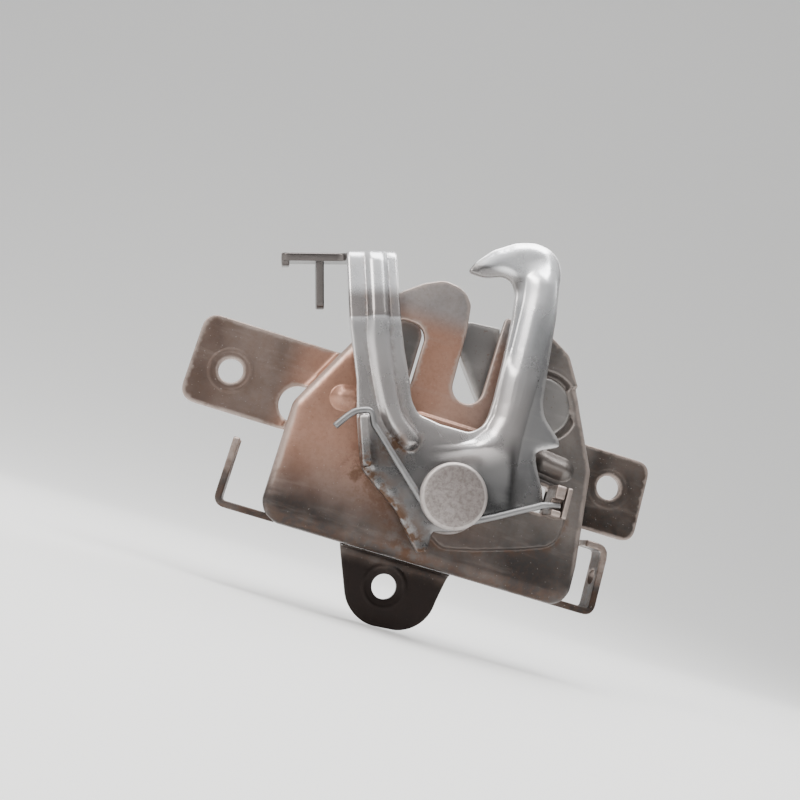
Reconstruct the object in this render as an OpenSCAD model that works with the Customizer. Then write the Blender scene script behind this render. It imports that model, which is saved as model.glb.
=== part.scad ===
// Bonnet latch: stamped base plate, catch claw and pawl behind it, and a
// sprung safety lever with a hook in front of it. Millimetres, +Z up, the
// front (hook side) faces -Y. The origin is midway between the two upper
// mounting holes, on the mounting plane (the back faces of the ears).

/* [Base plate] */
// Thickness of the base plate's sheet
base_t = 2; // [1.8:0.1:2.2]
// Height of the pan's front face above the mounting plane
pan_h = 16; // [15.8:0.1:16.2]
// Distance between the two upper mounting holes
hole_span = 121.6; // [120:0.2:123]
// Diameter of the three mounting holes
hole_d = 7.4; // [6.4:0.1:8.4]
// Width of the striker slot
slot_w = 9.3; // [8.4:0.1:9.6]
// Height of the two domes that the lever slides on
dome_h = 2.7; // [2:0.1:2.9]

/* [Safety lever] */
// Thickness of the lever's sheet
lever_t = 2.5; // [2.2:0.1:2.6]
// Height of the embossed ribs above the lever's face
rib_h = 3; // [2:0.1:3.4]
// Half width of the embossed ribs
rib_w = 5; // [4.4:0.1:5.2]
// Backward tilt of the upper arm
arm_tilt = 15; // [10:1:16]
// Upward slope of the handle as it runs back
handle_rise = 14; // [8:1:18]
// Length of the handle behind the arm
handle_l = 36; // [30:1:40]

/* [Rivets and springs] */
// Diameter of the main rivet's head
head_d = 18.7; // [18:0.1:19.4]
// Running clearance of each pivot, on the radius
fit = 0.05; // [0.03:0.01:0.08]
// Wire diameter of the lever's spring
wire_d = 1.85; // [1.6:0.05:1.9]
// Wire diameter of the two inner springs
inner_wire_d = 1.5; // [1.2:0.05:1.6]

/* [Claw and pawl] */
// Thickness of the claw and of the pawl
claw_t = 4.5; // [4:0.1:4.6]
// Angle of the claw from closed to open
claw_open = 60; // [58:1:61]
// Angle of the pawl from caught to free
pawl_free = 7; // [6:0.5:7.5]

/* [Hidden] */
$fn = 64;
// main pivot in the part's frame: all outlines below are drawn from it
piv_x = 10;
piv_z = -19;
ear_z = -piv_z;
hole_l = -hole_span / 2 - piv_x;
hole_r = hole_span / 2 - piv_x;
low_hole = [-8.2, -29.3];
pan_b = pan_h - base_t;
claw_c = [20.5, 34.3];
pawl_c = [-25, 20];
slot_c = [-2.35, 32.75];
lev_b = 19.5;
lev_f = lev_b + lever_t;
boss_f = pan_h + 1.2;
claw_f = 11.5;
claw_b = claw_f - claw_t;
head_b = 27.2;
head_f = 30;

// outline drawn in (x, z), from depth d0 to d1 in front of the mounting plane
module slab(d0, d1) translate([0, -d0, 0]) rotate([90, 0, 0]) linear_extrude(d1 - d0) children();
module disc(c, r, d0, d1) translate([c[0], -d0, c[1]]) rotate([90, 0, 0]) cylinder(r = r, h = d1 - d0);
module box(x0, x1, d0, d1, z0, z1) translate([x0, -d1, z0]) cube([x1 - x0, d1 - d0, z1 - z0]);
module placed() translate([piv_x, 0, piv_z]) children();

function unit(v) = v / norm(v);
function left_n(v) = [-v[1], v[0]];
// the path shifted to its left by t
function shifted(p, t) = [for (i = [0:len(p) - 1])
    let (a = unit(p[min(i + 1, len(p) - 1)] - p[min(i, len(p) - 2)]),
         b = unit(p[max(i, 1)] - p[max(i - 1, 0)]),
         n = unit(left_n(a) + left_n(b)))
    p[i] + n * t / (n * left_n(a))];
function rev(p) = [for (i = [len(p) - 1:-1:0]) p[i]];
function turn(p, c, a) = [for (q = p) let (v = q - c) c + [v[0] * cos(a) - v[1] * sin(a), v[0] * sin(a) + v[1] * cos(a)]];

// rectangle with round corners
module rrect(x0, z0, x1, z1, r) {
    translate([x0 + r, z0]) square([x1 - x0 - 2 * r, z1 - z0]);
    translate([x0, z0 + r]) square([x1 - x0, z1 - z0 - 2 * r]);
    for (x = [x0 + r, x1 - r], z = [z0 + r, z1 - r]) translate([x, z]) circle(r = r);
}

// tube along 3-D points [x, depth, z]
function ring(c, t, r, n) = let (u = unit(cross(t, abs(unit(t)[1]) > 0.8 ? [1, 0, 0] : [0, 1, 0])), v = unit(cross(t, u)))
    [for (k = [0:n - 1]) c + r * (u * cos(360 * k / n) + v * sin(360 * k / n))];
module tube(p3, r, n = 12) {
    p = [for (q = p3) [q[0], -q[1], q[2]]];
    m = len(p);
    pts = [for (i = [0:m - 1]) each ring(p[i], p[min(i + 1, m - 1)] - p[max(i - 1, 0)], r, n)];
    sides = [for (i = [0:m - 2], k = [0:n - 1])
        [i * n + k, i * n + (k + 1) % n, (i + 1) * n + (k + 1) % n, (i + 1) * n + k]];
    polyhedron(pts, concat([[for (k = [n - 1:-1:0]) k]], sides, [[for (k = [0:n - 1]) (m - 1) * n + k]]));
}
// points of a coil about a depth axis through c
function coil(c, r, a0, a1, d0, d1, n) = [for (i = [0:n]) let (a = a0 + (a1 - a0) * i / n)
    [c[0] + r * cos(a), d0 + (d1 - d0) * i / n, c[1] + r * sin(a)]];

// ---------------------------------------------------------------- base plate
pan_edge = [[-35.5, 42.6], [-50, 14], [-50, -15.5], [-48, -19], [-44.5, -20.5], [38.5, -20.5],
            [41.5, -19], [43, -15.5], [43, -8], [40.3, 20], [29.5, 43.2]];
pan_top = [[24.5, 51.8], [18.5, 55.3], [3, 57], [-8, 57.4], [-10.2, 60], [-13.3, 61.6], [-18, 62],
           [-23.5, 59.2], [-29.5, 54.5]];
// the walls are drawn up to here, the bend above it belongs to the face
wall_top = pan_h - 3.4;
bend_runs = [[0, 1, 1.8], [1, 2, 1.4], [4, 5, 1.7], [7, 8, 1.8], [8, 9, 1.4], [9, 10, 1.8]];

// breaks the outer bend along one straight run of the pan's edge
module bend_cut(a, b, r) {
    v = b - a;
    translate([a[0], -pan_h, a[1]]) rotate([0, -atan2(v[1], v[0]), 0]) rotate([90, 0, 90]) translate([0, 0, -1.3]) linear_extrude(norm(v) + 2.6)
        polygon([[-1, -1], [r + 0.7, -1], [r + 0.7, -0.3], [r * 0.3, r * 0.3], [-0.3, r + 0.7], [-1, r + 0.7]]);
}

// long low dome from a to b, raised in steps
module dome(a, b, w) {
    n = left_n(unit(b - a));
    for (k = [1:5]) let (q = w * sqrt(1 - pow((k - 1) / 5, 1.6))) slab(pan_h - 0.5, pan_h + dome_h * k / 5) {
        for (c = [a, b]) translate(c) circle(r = q);
        polygon([a + n * q * 0.99, a - n * q * 0.99, b - n * q * 0.99, b + n * q * 0.99]);
    }
}

// the pressing is one sheet: its face, and its walls with the ears, are drawn apart
module pressing() difference() {
    union() {
        difference() {
            slab(0, pan_h) polygon(concat(pan_edge, pan_top));
            slab(-1, pan_b) polygon(concat(shifted(pan_edge, base_t), [[31.3, 44], [45, 80], [-55, 80], [-37.3, 43.5]]));
            for (k = bend_runs) bend_cut(pan_edge[k[0]], pan_edge[k[1]], k[2]);
        }
        // ears
        slab(0, base_t) rrect(-83, 6.6, -52, 34.2, 5);
        slab(0, base_t) polygon([[-60, 6.6], [-49, 6.6], [-49, 14], [-38.6, 34.2], [-60, 34.2]]);
        slab(0, base_t) rrect(44, 4.4, 62.4, 30, 4.5);
        slab(0, base_t) polygon([[41, 4.4], [50, 4.4], [50, 30], [34.6, 30], [39.3, 20]]);
        disc(low_hole, 11.8, 0, base_t);
        disc(low_hole + [4.6, 0.1], 11.5, 0, base_t);
        slab(0, base_t) polygon([[-25, -19], [10, -19], [7.6, -28], [-3.6, -40.6], [-8.2, -41.1], [-19.4, -33]]);
        // cable brackets at both ends of the bottom flange
        box(-63.3, -44, 0, 9, -20.5, -18.5);
        box(-63.3, -61.3, 0, 9, -20.5, 0);
        box(38, 53.3, 0, 9, -20.5, -18.5);
        box(51.3, 53.3, 0, 9, -20.5, 1);
        box(46, 53.3, 0, 9, -1, 1);
        // cup behind the claw pivot's recess, boss round the main pivot, domes
        disc(claw_c, 11.4, pan_b - 1.2, pan_b + 0.5);
        slab(pan_h - 0.5, boss_f) polygon([[2.6, -14.2], [12, -12], [24.6, -8], [32, -5.2], [34.6, -2.6], [35.4, 3], [33.6, 12.6],
            [16, 14.5], [8, 21.4], [-15.4, 21.4], [-15.4, 4], [-6, -9]]);
        dome([-36.4, 19.2], [-33.4, 19.6], 3.5);
        dome([25.2, 18.6], [31, 18], 3.3);
        // upright tab that holds the lever spring's fixed leg
        box(28.2, 32.8, pan_b, 26.2, 3, 12);
    }
    // striker slot
    disc(slot_c, slot_w / 2, pan_b - 5, pan_h + 5);
    slab(pan_b - 5, pan_h + 5) polygon([[slot_c[0] - slot_w / 2, 32.75], [slot_c[0] + slot_w / 2, 32.75], [2.6, 50], [3.4, 70],
        [-10.4, 70], [-8.2, 57.2], [-7.3, 50]]);
    // window beside the left lobe, window of the spring tab
    slab(pan_b - 5, pan_h + 5) polygon([[-29, 28.5], [-27, 27], [-20.2, 27], [-18.9, 28.6], [-18.7, 43], [-19.7, 45.2], [-22, 46.6],
        [-26.4, 46.7], [-28.4, 45.4], [-29.4, 42]]);
    box(22.6, 28.2, pan_b - 2, pan_h + 5, 3.6, 11.4);
    box(27, 31.2, 23.2, 27, 4.8, 8.1);
    box(31, 31.4, 22.8, 27, 2, 13);
    // claw rivet's recess, rivet holes
    disc(claw_c, 10.2, pan_b, pan_h + 5);
    disc(claw_c, 4, pan_b - 5, pan_h + 5);
    disc(pawl_c, 4, pan_b - 5, pan_h + 5);
    disc([0, 0], 5, pan_b - 5, pan_h + 5);
    // mounting holes, relief hole at the left ear's root
    for (c = [[hole_l, ear_z], [hole_r, ear_z], low_hole]) disc(c, hole_d / 2, -3, base_t + 3);
    disc([-48.6, 15], 5.8, -3, 5);
    // cable slots in the brackets
    box(-65.3, -59.3, 2.3, 6.7, -9, 4);
    for (x = [-62.3, 52.3]) translate([x - 3, -4.5, -9]) rotate([0, 90, 0]) cylinder(r = 2.2, h = 6);
}
module base_plate() color([0.42, 0.37, 0.34]) placed() intersection() { pressing(); box(-100, 100, wall_top, 40, -60, 90); }
module base_walls() color([0.42, 0.37, 0.34]) placed() intersection() { pressing(); box(-100, 100, -1, wall_top, -60, 90); }

// --------------------------------------------------------------- safety lever
lever_pts = [[-12.6, 65], [-11, 69], [-7, 74], [-1, 78.3], [4.3, 80.2], [9.2, 79.9], [12.8, 77.4], [14.6, 73.6],
    [16.5, 59], [17.8, 46], [19.1, 33.8], [20.6, 30.1], [26.1, 25.3], [27.3, 23.2], [20.7, 19.6], [21.9, 16.1], [25.4, 9.7], [27, 5.2],
    [26.3, 4.1], [10.4, -4], [3, -9.4], [-1.9, -10.5], [-2, -16.4], [-4.5, -17.6], [-13.5, -7.9], [-26.3, 0.5],
    [-31.4, 14], [-34.5, 24], [-41.4, 40], [-27.2, 44.6],
    [-23.9, 36.5], [-20, 28.6], [-17.9, 23.4], [-14.6, 20.2], [-8.2, 18.8], [0.7, 19.1], [4, 22.2], [4.7, 26], [4.9, 31],
    [4.5, 42.6], [3.9, 54.8], [2.8, 63.4], [0.8, 66.3], [-1.9, 67.1], [-7.5, 64.7]];
shank_rib = [[6.4, 73.4], [9.6, 68], [10.6, 58], [11.2, 45], [12, 31], [9.4, 21], [0.4, 14.6]];
arm_rib = [[-32.9, 38.8], [-27, 25.6], [-21, 15], [-14, 9.6]];
shank_rib_back = [for (i = [0:5]) shank_rib[i]];
// half width of the rib's k-th step of three
function rib_half(k) = rib_w - 0.3 - 1.9 * (k - 1) * k / 6;
// the path with both ends drawn in by t
function drawn_in(p, t) = let (m = len(p) - 1) [for (i = [0:m])
    i == 0 ? p[0] + t * unit(p[1] - p[0]) : i == m ? p[m] + t * unit(p[m - 1] - p[m]) : p[i]];
module band(p, w) polygon(concat(shifted(p, -w), rev(shifted(p, w))));

// local frame of the tilted upper arm: x along the bend line, z up the arm
arm_mid = [-34.3, 42.3];
arm_dir = atan2(4.6, 14.2);
module arm_frame() translate([arm_mid[0], -lev_b - 0.3, arm_mid[1]]) rotate([0, -arm_dir, 0]) rotate([-arm_tilt, 0, 0]) children();
up_h = 24.3;
module handle_frame() arm_frame() translate([0, 0, up_h]) rotate([arm_tilt + handle_rise, 0, 0]) children();

module safety_lever() color([0.55, 0.55, 0.57]) placed() difference() {
    union() {
        slab(lev_b, lev_f) polygon(lever_pts);
        for (k = [1:3]) slab(lev_b + 0.3 + 0.2 * k, lev_f + rib_h * k / 3) {
            band(drawn_in(shank_rib, 0.9 * k - 0.9), rib_half(k));
            band(drawn_in(arm_rib, 0.9 * k - 0.9), rib_half(k));
        }
        // upper arm, with its rib run on over the bend
        arm_frame() translate([-7.4, -lever_t, -0.6]) cube([14.8, lever_t, up_h + 1.2]);
        for (k = [1:3]) arm_frame() translate([0.6 - rib_half(k), -lever_t - rib_h * k / 3, -1.4 + 0.2 * k])
            cube([2 * rib_half(k), lever_t + rib_h * k / 3 - 0.3 - 0.2 * k, up_h + 1 - 0.4 * k]);
        // handle: plate running back, wider at the back, with a lip and a leg turned down
        handle_frame() translate([0, 0, -lever_t]) linear_extrude(lever_t)
            polygon([[-7, -lever_t - 0.1], [7, -lever_t - 0.1], [7, handle_l], [-26.5, handle_l], [-26.5, 12], [-7, 12]]);
        handle_frame() translate([-26.5, 13, -4.6]) cube([lever_t, 12, 4.2]);
        handle_frame() translate([-15.5, 20, -18]) cube([lever_t, 9, 17.6]);
        // spring lug turned up toward the front at the arm's foot
        translate([-31.4, 0, 14]) rotate([0, atan2(13.5, 5.1), 0]) translate([0, -28, 0.15]) cube([14.4, 27.4 - lev_b, lever_t]);
    }
    disc([0, 0], 6.5 + fit, 0, 60);
    // open backs of the ribs
    slab(lev_b - 4, lev_f + rib_h - lever_t) { band(drawn_in(shank_rib_back, 2.4), rib_w - lever_t); band(drawn_in(arm_rib, 2.4), rib_w - lever_t); }
}

// rivet turned about a depth axis through c: profile in (radius, depth)
module turned(c, p) translate([c[0], 0, c[1]]) rotate([90, 0, 0]) rotate_extrude() polygon(p);

module lever_rivet() color([0.58, 0.55, 0.52]) placed() turned([0, 0], [[0, 12], [6.4, 12], [7.2, 12.8], [7.2, pan_b], [5, pan_b],
    [5, boss_f], [6.5, boss_f], [6.5, head_b], [head_d / 2, head_b], [head_d / 2, head_f - 0.9], [head_d / 2 - 0.8, head_f], [0, head_f]]);
module lever_washer() color([0.6, 0.6, 0.6]) placed() difference() {
    disc([0, 0], 10.4, boss_f + 0.05, lev_b - 0.15);
    disc([0, 0], 6.5 + fit, 0, 60);
}

// end of leg 1 hooks over the lug, leg 2 lies in the notch of the base's tab
coil_r = 8;
leg1_a = 140;
leg2_a = 300;
coil_d0 = lev_f + wire_d / 2 + 0.15;
coil_d1 = head_b - wire_d / 2 - 0.15;
module lever_spring() color([0.62, 0.62, 0.63]) placed()
    tube(concat([[-36.7, coil_d1 + 0.9, 9], [-34.6, coil_d1 + 0.9, 12.2], [-33.3, coil_d1 + 0.9, 13.9], [-32.4, coil_d1 + 0.8, 14.7],
            [-31.4, coil_d1 + 0.7, 15.25], [-30.2, coil_d1 + 0.6, 15.75], [-29.1, coil_d1 + 0.5, 16.05], [-28.2, coil_d1 + 0.4, 15.8],
            [-27.5, coil_d1 + 0.3, 14.8], [-26.6, coil_d1 + 0.2, 12.9]],
        coil([0, 0], coil_r, 218, 218 + 802, coil_d1, coil_d0, 78),
        [[14, coil_d0 + 0.1, -1.6], [20, coil_d0 + 0.6, 1.9], [26, coil_d0 + 1.2, 5.3], [30.6, coil_d0 + 1.45, 6.4]]), wire_d / 2, 10);

// ------------------------------------------------------------- claw and pawl
// outlines from the claw's pivot with the claw closed, mouth to the left
claw_pts = [[-25.8, -4.2], [-30, -13.5], [-30.4, -17.2], [-27, -20.1], [-19.3, -19.3], [-6.5, -17.6], [-4, -18.2], [-5, -23], [-1.6, -23.4],
    [4.6, -17], [10.2, -9.5], [10, 0], [8.2, 4.4], [5.5, 7.4], [1, 9.2], [-4.4, 9.5], [-13.5, 10.3], [-24.5, 7.8], [-26, 5.4], [-21.5, 2.5]];
module claw() color([0.5, 0.5, 0.5]) placed() difference() {
    slab(claw_b, claw_f) polygon([for (q = turn(claw_pts, [0, 0], -claw_open)) q + claw_c]);
    for (s = [turn([slot_c - claw_c], [0, 0], -claw_open)[0] + claw_c]) disc(s, 4.75, 0, 30);
    slab(0, 30) polygon([for (q = turn([[-22.85, -6.3], [-22.85, 3.2], [-40, 6.5], [-40, -1]], [0, 0], -claw_open)) q + claw_c]);
    disc(claw_c, 4 + fit, 0, 30);
}
module claw_rivet() color([0.56, 0.53, 0.5]) placed() turned(claw_c, [[0, 0.8], [4.6, 0.8], [5.4, 1.5], [5.4, 2], [4, 2], [4, pan_b], [9, pan_b],
    [9, pan_b + 0.9], [8.4, pan_b + 1.3], [0, pan_b + 1.3]]);
module pivot_washer(c) placed() difference() { disc(c, 8.6, 2, 3.2); disc(c, 4, 0, 30); }
module claw_washer() color([0.62, 0.62, 0.62]) pivot_washer(claw_c);
module claw_spring() color([0.5, 0.5, 0.52]) placed()
    tube(concat([[8, 4, 46.6]], coil(claw_c, 6, 205.5, 592.8, 4, 6.1, 44), [[26.8, 6.1, 22], [35.4, 6.1, 15.5]]), inner_wire_d / 2, 8);

pawl_pts = [[-29.3, 30], [-29.5, 44], [-27, 48], [-21, 48], [-19.3, 45], [-19.3, 27], [-17.4, 20], [-16, 14.4], [-11.5, 11], [0, 10.2], [14.3, 9.9],
    [13.7, 4.6], [0, 4.6], [-11, 3.8], [-19, 7.6], [-22, 1], [-23.5, -9], [-27, -11.6], [-30.6, -9.4], [-30, 0], [-32.2, 11], [-33, 20]];
module pawl() color([0.48, 0.44, 0.42]) placed() difference() {
    slab(claw_b, claw_f) polygon(pawl_pts);
    disc(pawl_c, 4 + fit, 0, 30);
    disc([-27, -6.6], 2.2, 0, 30);
}
module pawl_rivet() color([0.56, 0.53, 0.5]) placed() turned(pawl_c, [[0, 0.8], [4.6, 0.8], [5.4, 1.5], [5.4, 2], [4, 2], [4, pan_h],
    [4.7, pan_h], [4.7, pan_h + 1.2], [4.2, pan_h + 1.8], [0, pan_h + 1.8]]);
module pawl_washer() color([0.62, 0.62, 0.62]) pivot_washer(pawl_c);
module pawl_spring() color([0.5, 0.5, 0.52]) placed()
    tube(concat([[-45.4, 4, 7]], coil(pawl_c, 6, -71.9, 248.4, 4, 6.1, 38), [[-14, 6.1, 9.2], [-8, 6.1, 6.8]]), inner_wire_d / 2, 8);

base_plate();
base_walls();
safety_lever();
lever_rivet();
lever_washer();
lever_spring();
claw();
claw_rivet();
claw_washer();
claw_spring();
pawl();
pawl_rivet();
pawl_washer();
pawl_spring();
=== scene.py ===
"""Bonnet latch: smooth stamped sheets, rivets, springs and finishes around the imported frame."""

import math

import bpy
import numpy as np
from mathutils import Matrix, Vector
from mathutils.geometry import delaunay_2d_cdt
from mathutils.kdtree import KDTree


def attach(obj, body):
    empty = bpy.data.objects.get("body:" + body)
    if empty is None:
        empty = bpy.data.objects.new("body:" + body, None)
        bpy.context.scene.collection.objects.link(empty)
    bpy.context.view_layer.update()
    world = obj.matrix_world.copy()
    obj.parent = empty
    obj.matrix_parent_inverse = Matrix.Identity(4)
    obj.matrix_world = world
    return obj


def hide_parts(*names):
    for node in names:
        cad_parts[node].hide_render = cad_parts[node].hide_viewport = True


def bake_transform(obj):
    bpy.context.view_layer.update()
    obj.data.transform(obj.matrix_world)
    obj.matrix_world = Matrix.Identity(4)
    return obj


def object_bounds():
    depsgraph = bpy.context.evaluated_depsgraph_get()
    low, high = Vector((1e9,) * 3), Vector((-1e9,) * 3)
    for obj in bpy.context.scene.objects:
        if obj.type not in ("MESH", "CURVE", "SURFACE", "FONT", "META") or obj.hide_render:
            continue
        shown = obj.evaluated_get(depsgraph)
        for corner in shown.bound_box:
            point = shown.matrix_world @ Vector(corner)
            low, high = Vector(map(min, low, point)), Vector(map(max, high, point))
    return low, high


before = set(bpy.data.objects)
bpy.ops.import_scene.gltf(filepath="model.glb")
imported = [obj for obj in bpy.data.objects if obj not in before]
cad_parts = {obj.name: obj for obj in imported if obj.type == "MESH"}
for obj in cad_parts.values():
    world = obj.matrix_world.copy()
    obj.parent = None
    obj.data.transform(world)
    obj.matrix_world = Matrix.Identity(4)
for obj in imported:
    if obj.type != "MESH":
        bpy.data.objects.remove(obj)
cad_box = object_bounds()

# Outlines are drawn in millimetres from the main pivot: (x, z), with the depth d toward the front.
PX, PZ = 10.0, -19.0


# ------------------------------------------------------------------ outlines
def rounded(pts, r, special=None, n=6):
    """Closed outline with round corners; special gives single corners their own radius."""
    special = special or {}
    out = []
    m = len(pts)
    for i in range(m):
        p = np.array(pts[i], float)
        a = np.array(pts[i - 1], float) - p
        b = np.array(pts[(i + 1) % m], float) - p
        la, lb = np.linalg.norm(a), np.linalg.norm(b)
        a, b = a / la, b / lb
        ang = math.acos(max(-1.0, min(1.0, float(a @ b))))
        rr = special.get(i, r)
        if rr <= 0 or ang > math.pi - 0.03:
            out.append(p)
            continue
        t = min(rr / math.tan(ang / 2), 0.48 * la, 0.48 * lb)
        for k in range(n + 1):
            s = k / n
            out.append((1 - s) ** 2 * (p + a * t) + 2 * s * (1 - s) * p + s * s * (p + b * t))
    return np.array(out)


def arc(c, r, a0, a1, n=16):
    return [(c[0] + r * math.cos(math.radians(a0 + (a1 - a0) * i / n)), c[1] + r * math.sin(math.radians(a0 + (a1 - a0) * i / n)))
            for i in range(n + 1)]


def resample(loop, h):
    p = np.vstack([loop, loop[:1]])
    run = np.r_[0, np.cumsum(np.hypot(*np.diff(p, axis=0).T))]
    n = max(12, int(round(run[-1] / h)))
    t = np.linspace(0, run[-1], n, endpoint=False)
    return np.c_[np.interp(t, run, p[:, 0]), np.interp(t, run, p[:, 1])]


def area(loop):
    x, y = loop[:, 0], loop[:, 1]
    return 0.5 * float(np.sum(x * np.roll(y, -1) - y * np.roll(x, -1)))


def inside(loop, q):
    x, y = q[:, 0], q[:, 1]
    c = np.zeros(len(q), bool)
    for (x1, y1), (x2, y2) in zip(loop, np.roll(loop, -1, axis=0)):
        if y1 == y2:
            continue
        c ^= ((y1 > y) != (y2 > y)) & (x < (x2 - x1) * (y - y1) / (y2 - y1) + x1)
    return c


def dist(path, q, closed=False):
    p = np.array(path, float)
    if closed:
        p = np.vstack([p, p[:1]])
    best = np.full(len(q), 1e9)
    for a, b in zip(p[:-1], p[1:]):
        v = b - a
        t = np.clip(((q - a) @ v) / max(float(v @ v), 1e-12), 0, 1)
        best = np.minimum(best, np.hypot(*(q - (a + t[:, None] * v)).T))
    return best


def sdist(loop, q):
    """Distance to the outline, positive inside it."""
    loop = np.array(loop, float)
    d = dist(loop, q, True)
    return np.where(inside(loop, q), d, -d)


def smooth(a, b, x):
    t = np.clip((x - a) / (b - a), 0, 1)
    return t * t * (3 - 2 * t)


def spline(pts, per=8):
    """Catmull-Rom curve through the points."""
    p = np.array(pts, float)
    p = np.vstack([2 * p[0] - p[1], p, 2 * p[-1] - p[-2]])
    out = []
    for i in range(1, len(p) - 2):
        a, b, c, d = p[i - 1], p[i], p[i + 1], p[i + 2]
        for k in range(per):
            t = k / per
            out.append(0.5 * (2 * b + (c - a) * t + (2 * a - 5 * b + 4 * c - d) * t * t + (3 * b - a - 3 * c + d) * t ** 3))
    out.append(p[-2])
    return np.array(out)


# -------------------------------------------------------------------- meshes
class Mesh:
    """Vertices in (x, depth, z) millimetres, each with one edge value and one value for soiling and painted shade."""

    def __init__(self):
        self.v, self.f, self.edge, self.dirt_and_shade = [], [], [], []
        self.n = 0

    def add(self, verts, faces, edge, dirt_and_shade=None):
        verts = np.asarray(verts, float)
        self.v.append(verts)
        self.f += [tuple(int(i) + self.n for i in f) for f in faces]
        self.edge.append(np.broadcast_to(np.asarray(edge, float), (len(verts),)))
        self.dirt_and_shade.append(np.broadcast_to(np.asarray(0.0 if dirt_and_shade is None else dirt_and_shade, float), (len(verts),)))
        self.n += len(verts)

    def obj(self, name):
        v = np.vstack(self.v)
        co = np.c_[(v[:, 0] + PX) / 1000, -v[:, 1] / 1000, (v[:, 2] + PZ) / 1000]
        me = bpy.data.meshes.new(name)
        me.from_pydata([tuple(c) for c in co], [], self.f)
        me.validate()
        for key, vals in (("edge", self.edge), ("dirt_and_shade", self.dirt_and_shade)):
            at = me.attributes.new(key, "FLOAT", "POINT")
            at.data.foreach_set("value", np.concatenate(vals).astype(np.float32))
        me.shade_smooth()
        o = bpy.data.objects.new(name, me)
        bpy.context.scene.collection.objects.link(o)
        w = o.modifiers.new("normals", "WEIGHTED_NORMAL")
        w.mode = "FACE_AREA_WITH_ANGLE"
        w.weight = 50
        return o


def fill(loops, extra, step):
    """Triangles between the first loop and the others, with inner points."""
    edges, k = [], 0
    for l in loops:
        edges += [(k + i, k + (i + 1) % len(l)) for i in range(len(l))]
        k += len(l)
    lo, hi = loops[0].min(0), loops[0].max(0)
    xs = np.arange(lo[0], hi[0], step)
    g = np.array([(x + (step / 2 if j % 2 else 0), y) for j, y in enumerate(np.arange(lo[1], hi[1], step * 0.866)) for x in xs])

    def clear(q, gap):
        keep = inside(loops[0], q)
        for l in loops[1:]:
            keep &= ~inside(l, q)
        q = q[keep]
        keep = np.ones(len(q), bool)
        for l in loops:
            keep &= dist(l, q, True) > gap
        return q[keep]

    g = clear(g, 0.55 * step)
    if extra is not None and len(extra):
        extra = clear(np.array(extra), 0.3)
        kd = KDTree(max(1, len(extra)))
        for i, p in enumerate(extra):
            kd.insert((p[0], p[1], 0), i)
        kd.balance()
        g = np.array([p for p in g if kd.find((p[0], p[1], 0))[2] > 0.5 * step])
        g = np.vstack([extra, g])
    pts = np.vstack(list(loops) + [g])
    v, _e, f, ov, _oe, _of = delaunay_2d_cdt([Vector((float(p[0]), float(p[1]))) for p in pts], edges, [], 0, 1e-6)
    src = [o[0] if len(o) else -1 for o in ov]
    tri = np.array([t for t in f if len(t) == 3 and min(src[i] for i in t) >= 0])
    tri = np.array([[src[i] for i in t] for t in tri])
    c = pts[tri].mean(1)
    keep = inside(loops[0], c)
    for l in loops[1:]:
        keep &= ~inside(l, c)
    return pts, tri[keep]


def value(fn, q):
    return fn(q) if callable(fn) else np.full(len(q), float(fn))


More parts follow.
